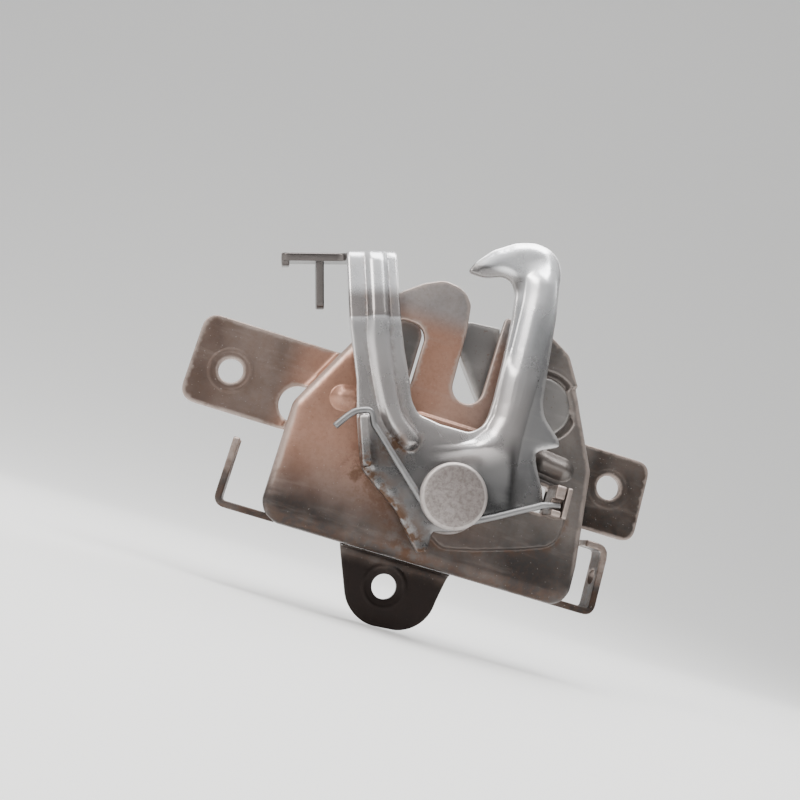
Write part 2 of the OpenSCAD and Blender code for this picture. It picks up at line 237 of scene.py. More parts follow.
def sheet(mesh, outer, holes=(), front=2.0, back=0.0, rf=0.5, rb=0.25, step=1.2, h=0.7, extra=None, place=None,
          wall=None, bend=3.0, thick=2.0, dirt_and_shade=None, edge_gain=1.0, edge_min=0.0):
    """Stamped sheet: front and back face, a die-rolled rim on each cut edge, and a bent-down wall where wall gives a foot depth."""
    loops = []
    for i, l in enumerate([outer] + list(holes)):
        l = np.array(l, float)
        if (area(l) > 0) != (i == 0):
            l = l[::-1]
        loops.append(resample(l, h))
    inward = []
    for l in loops:
        t = np.roll(l, -1, axis=0) - np.roll(l, 1, axis=0)
        t /= np.maximum(np.hypot(*t.T), 1e-9)[:, None]
        inward.append(np.c_[-t[:, 1], t[:, 0]])
    arcs = [math.radians(a) for a in (0, 30, 60, 90)]
    back_arcs = [math.radians(a) for a in (0, 45, 90)]
    profiles = []
    for i, l in enumerate(loops):
        foot = wall(l) if (wall and i == 0) else np.full(len(l), np.nan)
        is_wall = ~np.isnan(foot)
        foot = np.nan_to_num(foot)
        rows = []
        f0, b0 = value(front, l), value(back, l)
        for a in arcs:
            rows.append((np.where(is_wall, bend * (1 - math.sin(a)), rf * (1 - math.sin(a))),
                         np.where(is_wall, f0 - bend * (1 - math.cos(a)), f0 - rf * (1 - math.cos(a)))))
        if wall and i == 0:
            top, low = f0 - rf, b0 + rb
            side = [(0.0, 0.5), (0.0, 0.8), (0.3, 1.0), (thick - 0.3, 1.0), (thick, 0.8), (thick, 0.4)]
            wt = f0 - bend
            for k, (ins, fr) in enumerate(side):
                dw = wt + (foot - wt) * np.where(fr < 1, fr, 1.0)
                if k in (1, 4):
                    dw = foot + 0.3
                rows.append((np.where(is_wall, ins, 0.0), np.where(is_wall, dw, top + (low - top) * (k + 1) / 7)))
            ri = bend - thick
            for a in back_arcs:
                rows.append((np.where(is_wall, thick + ri * (1 - math.cos(a)), rb * (1 - math.cos(a))),
                             np.where(is_wall, b0 - ri * (1 - math.sin(a)), b0 + rb * (1 - math.sin(a)))))
        else:
            for a in back_arcs:
                rows.append((rb * (1 - math.cos(a)) + 0 * f0, b0 + rb * (1 - math.sin(a))))
        profiles.append(rows)
    rings = [l + n * p[0][0][:, None] for l, n, p in zip(loops, inward, profiles)]
    pts, tri = fill(rings, extra, step)
    nb = sum(len(l) for l in loops)
    q_back = pts.copy()
    k = 0
    for l, n, p in zip(loops, inward, profiles):
        q_back[k:k + len(l)] = l + n * p[-1][0][:, None]
        k += len(l)
    put = place or (lambda q, d: np.c_[q[:, 0], d, q[:, 1]])
    near = np.minimum.reduce([dist(l, pts, True) for l in loops])
    ed = np.maximum(np.exp(-np.maximum(near - rf, 0) / 0.3) * edge_gain, edge_min)
    dr = value(dirt_and_shade, pts) if dirt_and_shade else np.zeros(len(pts))
    df, db = value(front, pts), value(back, q_back)
    k = 0
    for l, p in zip(loops, profiles):
        df[k:k + len(l)] = p[0][1]
        db[k:k + len(l)] = p[-1][1]
        k += len(l)
    n_all = len(pts)
    verts = [put(pts, df), put(q_back, db)]
    edges_v = [ed, ed * 0.6]
    dirts = [dr, dr]
    faces = [tuple(t) for t in tri] + [(t[2] + n_all, t[1] + n_all, t[0] + n_all) for t in tri]
    base = 2 * n_all
    k = 0
    for l, n, p in zip(loops, inward, profiles):
        m = len(l)
        idx = [np.arange(k, k + m)]
        for ins, dep in p[1:-1]:
            q = l + n * ins[:, None]
            verts.append(put(q, dep))
            edges_v.append(np.full(m, edge_gain))
            dirts.append(value(dirt_and_shade, q) if dirt_and_shade else np.zeros(m))
            idx.append(np.arange(base, base + m))
            base += m
        idx.append(np.arange(k + n_all, k + n_all + m))
        for a, b in zip(idx[:-1], idx[1:]):
            for i in range(m):
                j = (i + 1) % m
                faces.append((a[j], a[i], b[i], b[j]))
        k += m
    mesh.add(np.vstack(verts), faces, np.concatenate(edges_v), np.concatenate(dirts))


def frame_place(mat, flip=False):
    """Puts outline (u, v) and thickness w into a frame of (x, y, z) millimetres, y running back."""
    m = np.array(mat)

    def put(q, w):
        p = np.c_[q[:, 0], q[:, 1], w, np.ones(len(w))] @ m.T
        return np.c_[p[:, 0], -p[:, 1], p[:, 2]]

    return put


def tube(mesh, pts, r, n=16, per=6, edge=0.0):
    run = [np.array(pts[0], float)]
    for a, b in zip(pts[:-1], pts[1:]):
        a, b = np.array(a, float), np.array(b, float)
        k = max(1, int(np.linalg.norm(b - a) / 1.6))
        run += [a + (b - a) * i / k for i in range(1, k + 1)]
    p = spline(run, per)
    t = np.gradient(p, axis=0)
    t /= np.linalg.norm(t, axis=1)[:, None]
    u = np.cross(t[0], (0.3, 0.2, 0.9))
    u /= np.linalg.norm(u)
    verts, faces = [], []
    rings = []
    for i in range(len(p)):
        u = u - t[i] * (u @ t[i])
        u /= np.linalg.norm(u)
        w = np.cross(t[i], u)
        rings.append((p[i], u.copy(), w, 1.0))
    first, last = rings[0], rings[-1]
    caps0 = [(first[0] - t[0] * r * 0.12 * (1 - s), first[1], first[2], s) for s in (0.72, 0.93)]
    caps1 = [(last[0] + t[-1] * r * 0.12 * (1 - s), last[1], last[2], s) for s in (0.93, 0.72)]
    rings = caps0 + rings + caps1
    for c, a, b, s in rings:
        for k in range(n):
            g = 2 * math.pi * k / n
            verts.append(c + r * s * (a * math.cos(g) + b * math.sin(g)))
    for i in range(len(rings) - 1):
        for k in range(n):
            j = (k + 1) % n
            faces.append((i * n + k, (i + 1) * n + k, (i + 1) * n + j, i * n + j))
    faces.append(tuple(range(n)))
    faces.append(tuple((len(rings) - 1) * n + k for k in range(n - 1, -1, -1)))
    faces = [f[::-1] for f in faces] if _inside_out(verts, faces) else faces
    mesh.add(verts, faces, edge)


def _inside_out(verts, faces):
    v = np.array(verts)
    vol = 0.0
    for f in faces:
        for i in range(1, len(f) - 1):
            a, b, c = v[f[0]], v[f[i]], v[f[i + 1]]
            vol += a @ np.cross(b, c)
    return vol > 0


def lathe(mesh, c, prof, n=96, edge=None):
    """Turned piece about a depth axis through c; prof holds (radius, depth) from the back centre to the front centre."""
    verts, faces, ed = [], [], []
    m = len(prof)
    for i, (r, d) in enumerate(prof):
        for k in range(n):
            g = 2 * math.pi * k / n
            verts.append((c[0] + max(r, 0.02) * math.cos(g), d, c[1] + max(r, 0.02) * math.sin(g)))
            ed.append(0.0 if edge is None else edge[i])
    for i in range(m - 1):
        for k in range(n):
            j = (k + 1) % n
            faces.append((i * n + k, i * n + j, (i + 1) * n + j, (i + 1) * n + k))
    faces.append(tuple(range(n - 1, -1, -1)))
    faces.append(tuple((m - 1) * n + k for k in range(n)))
    faces = [f[::-1] for f in faces] if _inside_out(verts, faces) else faces
    mesh.add(verts, faces, ed)


def rot_y(a):
    c, s = math.cos(math.radians(a)), math.sin(math.radians(a))
    return np.array([[c, 0, s, 0], [0, 1, 0, 0], [-s, 0, c, 0], [0, 0, 0, 1]])


def rot_x(a):
    c, s = math.cos(math.radians(a)), math.sin(math.radians(a))
    return np.array([[1, 0, 0, 0], [0, c, -s, 0], [0, s, c, 0], [0, 0, 0, 1]])


def move(x, y, z):
    m = np.eye(4)
    m[:3, 3] = (x, y, z)
    return m


def axes(a, b, c):
    """Frame whose u, v, w run along the given (x, y, z) directions."""
    m = np.eye(4)
    m[:3, 0], m[:3, 1], m[:3, 2] = a, b, c
    return m


# ---------------------------------------------------------------- base plate
BASE_T, PAN_H, BOSS = 2.0, 16.0, 1.2
CLAW_C, PAWL_C, SLOT_C = (20.5, 34.3), (-25.0, 20.0), (-2.35, 32.75)
HOLES = [(-70.8, 19.0), (50.8, 19.0), (-8.2, -29.3)]
pan_edge = [(-35.5, 42.6), (-50, 14), (-50, -15.5), (-48, -19), (-44.5, -20.5), (38.5, -20.5), (41.5, -19), (43, -15.5), (43, -8),
            (40.3, 20), (29.5, 43.2)]
slot_arc = arc(SLOT_C, 4.65, 0, -180, 14)
pan_top = [(24.5, 51.8), (18.5, 55.3), (2.9, 57)] + [(2.6, 50)] + slot_arc + [(-7.3, 50), (-8.2, 57.2), (-10.2, 60), (-13.3, 61.6), (-18, 62),
           (-23.5, 59.2), (-29.5, 54.5)]
pan_loop = rounded(pan_edge + pan_top, 5, {0: 6, 13: 1.2, len(pan_edge) + 3: 8, len(pan_edge) + 4: 0.5, len(pan_edge) + 18: 0.5,
                                          len(pan_edge) + 19: 8, len(pan_edge) + 20: 3})
lobe_window = rounded([(-29, 28.5), (-27, 27), (-20.2, 27), (-18.9, 28.6), (-18.7, 43), (-19.7, 45.2), (-22, 46.6), (-26.4, 46.7), (-28.4, 45.4),
                       (-29.4, 42)], 3)
tab_window = rounded([(22.6, 3.6), (28.2, 3.6), (28.2, 11.4), (22.6, 11.4)], 1.0)
boss_pts = rounded([(2.6, -14.2), (12, -12), (24.6, -8), (32, -5.2), (34.6, -2.6), (35.4, 3), (33.6, 12.6), (16, 14.5), (8, 21.4), (-15.4, 21.4), (-15.4, 4),
                    (-6, -9)], 5, {8: 2, 9: 2})


DOMES = [((-36.6, 19.0), (-33.4, 19.5), 3.8), ((25.2, 18.4), (31, 17.8), 3.5)]


def pan_front(q):
    d = np.full(len(q), PAN_H)
    d += BOSS * smooth(-0.4, 0.5, sdist(boss_pts, q))
    for a, b, w in DOMES:
        s = dist([a, b], q) / w
        d += 2.7 * np.where(s < 1, np.maximum(1 - s * s, 0) ** 1.15, 0)
    r = np.hypot(q[:, 0] - CLAW_C[0], q[:, 1] - CLAW_C[1])
    d -= 2.0 * smooth(10.9, 9.7, r) - 0.25 * np.exp(-((r - 11.6) / 0.7) ** 2)
    return d


def pan_back(q):
    r = np.hypot(q[:, 0] - CLAW_C[0], q[:, 1] - CLAW_C[1])
    return PAN_H - BASE_T - 1.2 * smooth(11.4, 10.4, r)


def pan_wall(l):
    """Depth of the wall's foot along the pan's edge; none along the cut top edge."""
    z_end = np.where(l[:, 0] < 0, 42.0, 43.0)
    on = dist(pan_edge, l) < 0.9
    foot = np.where(on & (l[:, 1] < z_end), 0.05, np.nan)
    relief = np.hypot(l[:, 0] + 48.6, l[:, 1] - 15) < 5.8
    return np.where(relief & ~np.isnan(foot), 5.0, foot)


def around(loop, offs, h=0.6):
    out = []
    l = resample(np.array(loop, float), h)
    t = np.roll(l, -1, axis=0) - np.roll(l, 1, axis=0)
    t /= np.maximum(np.hypot(*t.T), 1e-9)[:, None]
    n = np.c_[-t[:, 1], t[:, 0]]
    for o in offs:
        out.append(l + n * o)
    return np.vstack(out)


feature = [around(boss_pts, (-0.75, -0.45, -0.15, 0.1, 0.35, 0.6), 0.5),
           np.array([p for r in (9.4, 9.8, 10.2, 10.6, 11.0, 11.5, 12.2) for p in arc(CLAW_C, r, 0, 359, 110)])]
for a, b, w in DOMES:
    for s in (1.08, 1.0, 0.93, 0.84, 0.72, 0.58, 0.42, 0.26, 0.1):
        ang = math.degrees(math.atan2(b[1] - a[1], b[0] - a[0]))
        cap = arc(b, w * s, ang - 90, ang + 90, 16) + arc(a, w * s, ang + 90, ang + 270, 16)
        feature.append(resample(np.array(cap), 0.55))
feature = np.vstack(feature)


def pan_dirt_and_shade(q):
    """Darker just outside the boss's lower edge, soiling together with a painted shadow of the lever along the lever's
    lower-left side, and painted shade toward the bottom bend.
    """
    s = sdist(boss_pts, q)
    # lee: soiling along the lever's lower-left edge, plus a painted shadow of the lever up its left side
    lee = np.exp(-(dist([(-27, -1), (-14, -9.5), (-6, -18)], q) / 5.0) ** 2) + 0.6 * np.exp(-(dist([(-35, 22), (-31.4, 13), (-27, 0)], q) / 2.6) ** 2)
    return np.clip(0.7 * np.exp(-((s + 0.9) / 0.8) ** 2) * (q[:, 1] < 6) + 0.5 * smooth(-14, -20, q[:, 1]) + 0.75 * lee, 0, 1)


base = Mesh()
sheet(base, pan_loop, [lobe_window, tab_window], front=pan_front, back=pan_back, rf=0.55, rb=0.25, step=1.5, h=0.7, extra=feature,
      wall=pan_wall, bend=3.0, thick=BASE_T, dirt_and_shade=pan_dirt_and_shade)


def ear_depth(q):
    """Flat ear with a fillet up to the pan's wall and a shallow raised ring round its hole."""
    s = np.clip(dist(pan_edge, q), 0.0, 3.0)
    d = BASE_T + 3.0 - np.sqrt(np.maximum(9.0 - (3.0 - s) ** 2, 0))
    for hole in HOLES:
        r = np.hypot(q[:, 0] - hole[0], q[:, 1] - hole[1])
        d += 0.18 * (smooth(7.2, 6.3, r) - smooth(6.0, 5.2, r))
    return d


def ear_back(q):
    return np.maximum(ear_depth(q) - BASE_T, 0.0) * 0.9


def hole_ring(c):
    return np.array([p for r in (4.4, 5.2, 5.6, 6.0, 6.3, 6.8, 7.2) for p in arc(c, r, 0, 359, 60)])


relief = arc((-48.6, 15), 5.8, 256, 71, 22)
left_ear = rounded([(-50.1, 6.6)] + relief + [(-39.95, 34.2), (-83, 34.2), (-83, 6.6)], 0.0, {25: 5, 26: 5})
right_ear = rounded([(41.95, 4.4), (62.4, 4.4), (62.4, 30), (35.75, 30), (40.45, 20)], 0.0, {1: 4.5, 2: 4.5})
low_ear = np.array([(-24.6, -20.55)] + arc((-8.2, -29.3), 11.8, 199, 270, 14) + arc((-3.6, -29.2), 11.5, 271, 358, 16) + [(9.6, -20.55)])


def root_rows(offs, pts):
    out = []
    for (x1, z1), (x2, z2) in zip(pts[:-1], pts[1:]):
        v = np.array((x2 - x1, z2 - z1), float)
        length = np.hypot(*v)
        n = np.array((v[1], -v[0])) / length
        for o in offs:
            for k in range(int(length / 0.8)):
                out.append(np.array((x1, z1)) + v * (k + 0.5) / int(length / 0.8) + n * o)
    return np.array(out)


rows = root_rows((0.35, 0.8, 1.4, 2.1, 2.9), pan_edge)
for loop, hole in ((left_ear, HOLES[0]), (right_ear, HOLES[1]), (low_ear, HOLES[2])):
    sheet(base, loop, [arc(hole, 3.7, 0, 352.5, 47)], front=ear_depth, back=ear_back, rf=0.45, rb=0.2, step=1.6, h=0.6,
          extra=np.vstack([rows, hole_ring(hole)]), dirt_and_shade=lambda q: 0.15 + 0.15 * smooth(-22, -34, q[:, 1]))


# cable brackets: bent strips, u across the depth, v along the strip
def corner(a, c, b, r, n=8):
    """Open path from a to b with a round corner at c."""
    a, b, c = (np.array(p, float) for p in (a, b, c))
    u, v = (a - c) / np.linalg.norm(a - c), (b - c) / np.linalg.norm(b - c)
    mid = [c + u * r * (1 - s) ** 2 + v * r * s * s for s in np.linspace(0, 1, n)]
    return [a] + mid + [b]


def strip_place(path):
    p = np.array(path, float)
    fine = []
    for a, b in zip(p[:-1], p[1:]):
        k = max(1, int(np.hypot(*(b - a)) / 0.4))
        fine += [a + (b - a) * i / k for i in range(k)]
    p = np.array(fine + [p[-1]])
    run = np.r_[0, np.cumsum(np.hypot(*np.diff(p, axis=0).T))]
    t = np.gradient(p, axis=0)
    t /= np.hypot(*t.T)[:, None]

    def put(q, w):
        x, z = np.interp(q[:, 1], run, p[:, 0]), np.interp(q[:, 1], run, p[:, 1])
        tx, tz = np.interp(q[:, 1], run, t[:, 0]), np.interp(q[:, 1], run, t[:, 1])
        return np.c_[x - tz * w, q[:, 0], z + tx * w]

    return put, float(run[-1])


put, run = strip_place(corner((-45, -19.5), (-62.3, -19.5), (-62.3, 0), 2.4))
sl = run - 9.0
sheet(base, rounded([(0.1, 0), (9, 0), (9, run), (6.7, run)] + arc((4.5, sl), 2.2, 0, -180, 10) + [(2.3, run), (0.1, run)], 0.0, {1: 0, 2: 0.8, 3: 0.6}),
      front=1.0, back=-1.0, rf=0.4, rb=0.4, step=1.5, h=0.6, place=put, dirt_and_shade=lambda q: np.full(len(q), 0.4))
put, run = strip_place(corner((39, -19.5), (52.3, -19.5), (52.3, -3), 2.4)[:-1] + [np.array(p) for p in ((52.3, -3.0), (52.0, -1.2), (51.0, -0.2), (49.5, 0.0), (46.0, 0.0))])
sl = 13.3 + 10.5 - 1.0
sheet(base, rounded([(0.1, 0), (9, 0), (9, run), (0.1, run)], 0.8), [arc((4.5, sl), 2.2, 0, 345, 23)], front=1.0, back=-1.0, rf=0.4, rb=0.4, step=1.5, h=0.6, place=put,
      dirt_and_shade=lambda q: np.full(len(q), 0.4))
# upright tab for the spring's fixed leg: u is the depth, v is z
tab = [(14.4, 3), (26.2, 3), (26.2, 4.8), (23.2, 4.8), (23.2, 8.1), (26.2, 8.1), (26.2, 12), (14.4, 12)]
for outline, x0, x1, dirty in ((rounded(tab, 0.4, {1: 0.9, 6: 0.9}), 28.2, 31.0, 0.35), (rounded([tab[0], tab[1], tab[6], tab[7]], 0.6), 31.4, 32.8, 0.1),
                               (rounded([(14.4, 3.1), (22.8, 3.1), (22.8, 11.9), (14.4, 11.9)], 0.2), 30.6, 31.8, 0.8)):
    sheet(base, outline, front=x1, back=x0, rf=0.4, rb=0.35, step=1.2, h=0.4, place=lambda q, w: np.c_[w, q[:, 0], q[:, 1]],
          dirt_and_shade=lambda q: np.full(len(q), dirty), edge_min=0.75)
base_obj = base.obj("base_plate_shell")

# -------------------------------------------------------------- safety lever
LEV_B, LEV_T, RIB_H, RIB_W, ARM_W = 19.5, 2.5, 3.0, 5.0, 3.4
MID = LEV_B + LEV_T / 2
ARM = np.array((-34.3, 42.3))
ARM_A = math.atan2(4.6, 14.2)
AE = np.array((math.cos(ARM_A), math.sin(ARM_A)))
AN = np.array((-math.sin(ARM_A), math.cos(ARM_A)))


def uv(u, v):
    return tuple(ARM + AE * u + AN * v)


upper = [uv(-7.4, 0), uv(-7.4, 21.8), uv(-7.0, 24.8), uv(-7.0, 36), uv(-26.5, 36), uv(-26.5, 59.8), uv(7.0, 59.8), uv(7.0, 24.8), uv(7.4, 21.8), uv(7.4, 0)]
lever_pts = [(-12.6, 65), (-11, 69), (-7, 74), (-1, 78.3), (4.3, 80.2), (9.2, 79.9), (12.8, 77.4), (14.6, 73.6), (16.5, 59), (17.8, 46), (19.1, 33.8),
             (20.6, 30.1), (26.1, 25.3), (27.3, 23.2), (20.7, 19.6), (21.9, 16.1), (25.4, 9.7), (27, 5.2), (26.3, 4.1), (10.4, -4), (3, -9.4), (-1.9, -10.5),
             (-2, -16.4), (-4.5, -17.6), (-13.5, -7.9), (-26.3, 0.5), (-31.4, 14), (-34.5, 24)] + upper + [
             (-23.9, 36.5), (-20, 28.6), (-17.9, 23.4), (-14.9, 20.1), (-8.2, 19.2), (0.9, 19.4), (4, 22.4), (4.7, 26), (4.9, 31), (4.5, 42.6), (3.9, 54.8),
             (2.8, 63.4), (0.8, 66.3), (-1.9, 67.1), (-7.5, 64.7)]
lever_loop = rounded(lever_pts, 9, {0: 1.1, 12: 1.4, 13: 1.2, 14: 1.6, 17: 1.5, 18: 1.5, 21: 1.2, 22: 0.9, 23: 0.9, 26: 6, 41: 4, 42: 4, 43: 4, 31: 2, 32: 2.2, 33: 2.2, 34: 2.2})
shank_rib = spline([(5.2, 74.6), (8.6, 70.6), (10, 65), (10.5, 57), (10.8, 46), (10.8, 36), (10.9, 31)], 8)
arm_rib = spline([uv(1.1, 21.5), uv(1.1, 10), uv(1.0, 0), (-31.7, 36.9), (-26.5, 25.7), (-21.4, 16.9), (-15.6, 12.2)], 8)
# lines where the shank's rib spreads into the body: along the U and down the right side
u_foot = np.array([(5.2, 46), (5.6, 36), (6.0, 30), (6.0, 26), (5.0, 21.6), (2.2, 17.8), (-2.3, 14.9), (-8, 12.8), (-14, 11.4)])
right_foot = np.array([(16.3, 46), (15.9, 35), (15.8, 21.6), (17.3, 3.1), (17.9, -3)])
spread = np.vstack([u_foot, [(-16, -20), (19, -20)], right_foot[::-1]])


def near_run(path, q):
    """Distance to the path and how far along it the nearest point lies."""
    best, at, run = np.full(len(q), 1e9), np.zeros(len(q)), 0.0
    for a, b in zip(path[:-1], path[1:]):
        v = b - a
        length = math.hypot(*v)
        t = np.clip(((q - a) @ v) / max(length * length, 1e-12), 0, 1)
        d = np.hypot(*(q - (a + t[:, None] * v)).T)
        at = np.where(d < best, run + t * length, at)
        best = np.minimum(best, d)
        run += length
    return best, at


def ribs(q, shrink=0.0):
    """Height of the pressed ribs: a full round one along the shank that runs out into the hook, a low flat one along the arm."""
    d, run = near_run(shank_rib, q)
    s = d / (RIB_W - shrink)
    shank = RIB_H * np.where(s < 1, np.maximum(1 - s ** 2, 0) ** 1.1, 0) * smooth(0, 9, run)
    e = np.clip(np.minimum(dist(u_foot, q), dist(right_foot, q)) - shrink, 0, RIB_W)
    x, z = q[:, 0], q[:, 1]
    fade = smooth(47, 38, z) * smooth(-12, 0, x) * (0.2 * smooth(1, 6, z) + 0.8 * smooth(4, 18, z)) * smooth(8.6, 18, np.hypot(x, z))
    shank = np.maximum(shank, np.where(inside(spread, q), RIB_H * (1 - (1 - e / RIB_W) ** 2) * fade, 0))
    s = dist(arm_rib, q) / (ARM_W - shrink)
    v = (q - ARM) @ AN
    arm = (1.9 + 0.5 * smooth(30, 14, z)) * np.where((v > 12) & (x < -20), smooth(24, 18.5, v), 1) * np.sin(0.5 * math.pi * np.clip((1 - s) / 0.62, 0, 1))
    return np.maximum(shank, arm)


LUG_A = np.array((-31.4, 14.0))
LUG_U = np.array((5.1, -13.5)) / math.hypot(5.1, 13.5)
LUG_N = np.array((-LUG_U[1], LUG_U[0]))


def lever_front(q):
    d = LEV_B + LEV_T + ribs(q)
    near = dist(lever_loop, q, True)
    d -= (0.25 * smooth(2.2, 0, near) + 0.9 * smooth(3.6, 0, near) * smooth(60, 70, q[:, 1])) * (q[:, 0] > -20)
    # fillet at the foot of the spring lug
    along, off = (q - LUG_A) @ LUG_U, (q - LUG_A) @ LUG_N
    s = np.clip(off - 2.65, 0, 2.2)
    d += (2.2 - np.sqrt(np.maximum(2.2 ** 2 - (2.2 - s) ** 2, 0))) * smooth(-0.6, 0.6, along) * smooth(15, 13.8, along) * (off < 4.85) * (off > 2)
    # the lower tip is set forward a little
    d += 0.5 * smooth(-13.6, -17.5, q[:, 1])
    return d


def lever_back(q):
    h = ribs(q, 1.3) * 0.86
    return LEV_B + h + 0.5 * smooth(-13.6, -17.5, q[:, 1])


# fold of the flat pattern: a gentle bend at the arm's foot line, a tight one at the handle
fs = np.linspace(-4, 68, 3601)
kap = np.zeros_like(fs)
kap[(fs > -1.2) & (fs < 1.2)] = math.radians(15) / 2.4
kap[(fs > 20.4) & (fs < 23.6)] = math.radians(61) / 3.2
theta = np.cumsum(kap) * (fs[1] - fs[0])
up_run = np.cumsum(np.cos(theta)) * (fs[1] - fs[0])
up_run += -4 - up_run[0]
back_run = np.cumsum(np.sin(theta)) * (fs[1] - fs[0])


def lever_place(q, d):
    u, v = (q - ARM) @ AE, (q - ARM) @ AN
    m = (u < 12) & (v > -3)
    th = np.interp(v, fs, theta)
    up = np.interp(v, fs, up_run) + (d - MID) * np.sin(th)
    fr = -np.interp(v, fs, back_run) + (d - MID) * np.cos(th)
    p = ARM + np.outer(u, AE) + np.outer(up, AN)
    return np.c_[np.where(m, p[:, 0], q[:, 0]), np.where(m, MID + fr, d), np.where(m, p[:, 1], q[:, 1])]


def lever_dirt(q):
    low = smooth(20, 2, q[:, 1])
    left = np.exp(-np.abs((q - np.array((-13.5, -7.9))) @ np.array((0.63, 0.77))) / 3.0)
    crease = np.exp(-((dist(arm_rib, q) - ARM_W - 0.2) / 0.5) ** 2)
    foot = np.exp(-(np.hypot(q[:, 0] + 19.5, q[:, 1] - 9.5) / 4.0) ** 2)
    return np.clip(low * left + 0.35 * crease + 0.9 * foot, 0, 1)


def evenly(path, h):
    run = np.r_[0, np.cumsum(np.hypot(*np.diff(path, axis=0).T))]
    t = np.linspace(0, run[-1], max(2, int(run[-1] / h)))
    return np.c_[np.interp(t, run, path[:, 0]), np.interp(t, run, path[:, 1])]


rib_pts = []
for path, w in ((shank_rib, RIB_W), (arm_rib, ARM_W)):
    path = evenly(path, 0.65)
    t = np.gradient(path, axis=0)
    t /= np.hypot(*t.T)[:, None]
    n = np.c_[-t[:, 1], t[:, 0]]
    for o in (-1.06, -1.0, -0.92, -0.78, -0.6, -0.38, -0.14, 0.14, 0.38, 0.6, 0.78, 0.92, 1.0, 1.06):
        rib_pts.append(path + n * o * w)
    for c, dr in ((path[0], -t[0]), (path[-1], t[-1])):
        g = math.degrees(math.atan2(dr[1], dr[0]))
        for r in (1.06, 1.0, 0.92, 0.78, 0.6, 0.38):
            rib_pts.append(np.array(arc(c, r * w, g - 85, g + 85, max(4, int(r * w * 4)))))
for path in (u_foot, right_foot):
    line = evenly(spline(path, 12), 0.65)
    t = np.gradient(line, axis=0)
    t /= np.hypot(*t.T)[:, None]
    for o in (-0.3, 0.0, 0.35, 0.8, 1.4, 2.1, 3.0, 4.0):
        rib_pts.append(line + np.c_[-t[:, 1], t[:, 0]] * (o if path is u_foot else -o))
fold_rows = [uv(u, v) for v in (-1.6, -1.2, -0.6, 0, 0.6, 1.2, 1.6, 20, 20.4, 21, 21.6, 22.2, 22.8, 23.4, 23.7, 24.2) for u in np.arange(-7, 7.01, 0.9)]
lever = Mesh()
sheet(lever, lever_loop, [arc((0, 0), 6.55, 0, 354, 59)], front=lever_front, back=lever_back, rf=0.7, rb=0.3, step=1.1, h=0.55,
      extra=np.vstack(rib_pts + [np.array(fold_rows)]), place=lever_place, dirt_and_shade=lever_dirt)
arm_m = move(ARM[0], -LEV_B - 0.3, ARM[1]) @ rot_y(-math.degrees(ARM_A)) @ rot_x(-15)
hand_m = arm_m @ move(0, 0, 24.3) @ rot_x(29)
# lip and leg turned down at the handle: u along the handle, v down, w across
down = axes((0, 1, 0), (0, 0, 1), (1, 0, 0))
sheet(lever, rounded([(13, -4.6), (25, -4.6), (25, -0.5), (13, -0.5)], 0.0, {0: 1.6, 1: 1.6}), front=-24.05, back=-26.45, rf=0.4, rb=0.4, step=1.5, h=0.5,
      place=frame_place(hand_m @ down))
sheet(lever, rounded([(20, -18), (29, -18), (29, -0.5), (20, -0.5)], 0.0, {0: 2, 1: 2}), front=-13, back=-15.5, rf=0.4, rb=0.4, step=1.5, h=0.5,
      place=frame_place(hand_m @ down))
# spring lug turned up toward the front: u along the edge, v the depth, w inward
lug_m = move(-31.4, 0, 14) @ rot_y(math.degrees(math.atan2(13.5, 5.1)))
sheet(lever, rounded([(0.1, -28), (14.3, -28), (14.3, -20.3), (0.1, -20.3)], 0.0, {0: 1.2, 1: 1.2}), front=2.65, back=0.15, rf=0.45, rb=0.45, step=1.2, h=0.45,
      place=frame_place(lug_m @ axes((1, 0, 0), (0, 1, 0), (0, 0, 1))), dirt_and_shade=lambda q: 0.25 + 0.6 * smooth(8, 14, q[:, 0]))
lever_obj = lever.obj("safety_lever_shell")

# ----------------------------------------------------------- rivets, washers
rivet = Mesh()
prof = [(0, 12), (5.8, 12), (6.6, 12.3), (7.1, 12.9), (7.2, 13.4), (7.2, 14), (5, 14), (5, 17.2), (6.5, 17.2), (6.5, 27.2), (9.05, 27.2), (9.28, 27.32), (9.35, 27.6),
        (9.35, 28.75), (9.3, 29.05), (9.1, 29.4), (8.75, 29.72), (8.45, 29.82), (8.2, 29.78), (8.0, 29.86), (7.6, 29.95), (6.8, 30), (4.5, 30), (2, 30), (0, 30)]
lathe(rivet, (0, 0), prof, edge=[0] * 10 + [0.6, 1, 1, 1, 1, 1, 1, 1, 0.3, 0.2, 0.1, 0, 0, 0, 0])
rivet_obj = rivet.obj("lever_rivet_turned")
claw_rivet = Mesh()
lathe(claw_rivet, CLAW_C, [(0, 0.8), (4.4, 0.8), (5.1, 1.05), (5.4, 1.5), (5.4, 2), (4, 2), (4, 14), (8.8, 14), (9, 14.25), (9, 14.75), (8.75, 15.1), (8.3, 15.28), (7.5, 15.3),
                               (4, 15.3), (0, 15.3)], edge=[0, 0, 0.8, 0.8, 0.3, 0, 0, 0.4, 1, 1, 1, 0.7, 0, 0, 0])
claw_rivet_obj = claw_rivet.obj("claw_rivet_turned")
pawl_rivet = Mesh()
lathe(pawl_rivet, PAWL_C, [(0, 0.8), (4.4, 0.8), (5.1, 1.05), (5.4, 1.5), (5.4, 2), (4, 2), (4, 16), (4.55, 16), (4.7, 16.15), (4.7, 17.1), (4.55, 17.5), (4.2, 17.75), (3.7, 17.8),
                               (2, 17.8), (0, 17.8)], edge=[0, 0, 0.8, 0.8, 0.3, 0, 0, 0.4, 1, 1, 1, 0.7, 0, 0, 0])
pawl_rivet_obj = pawl_rivet.obj("pawl_rivet_turned")
washers = []
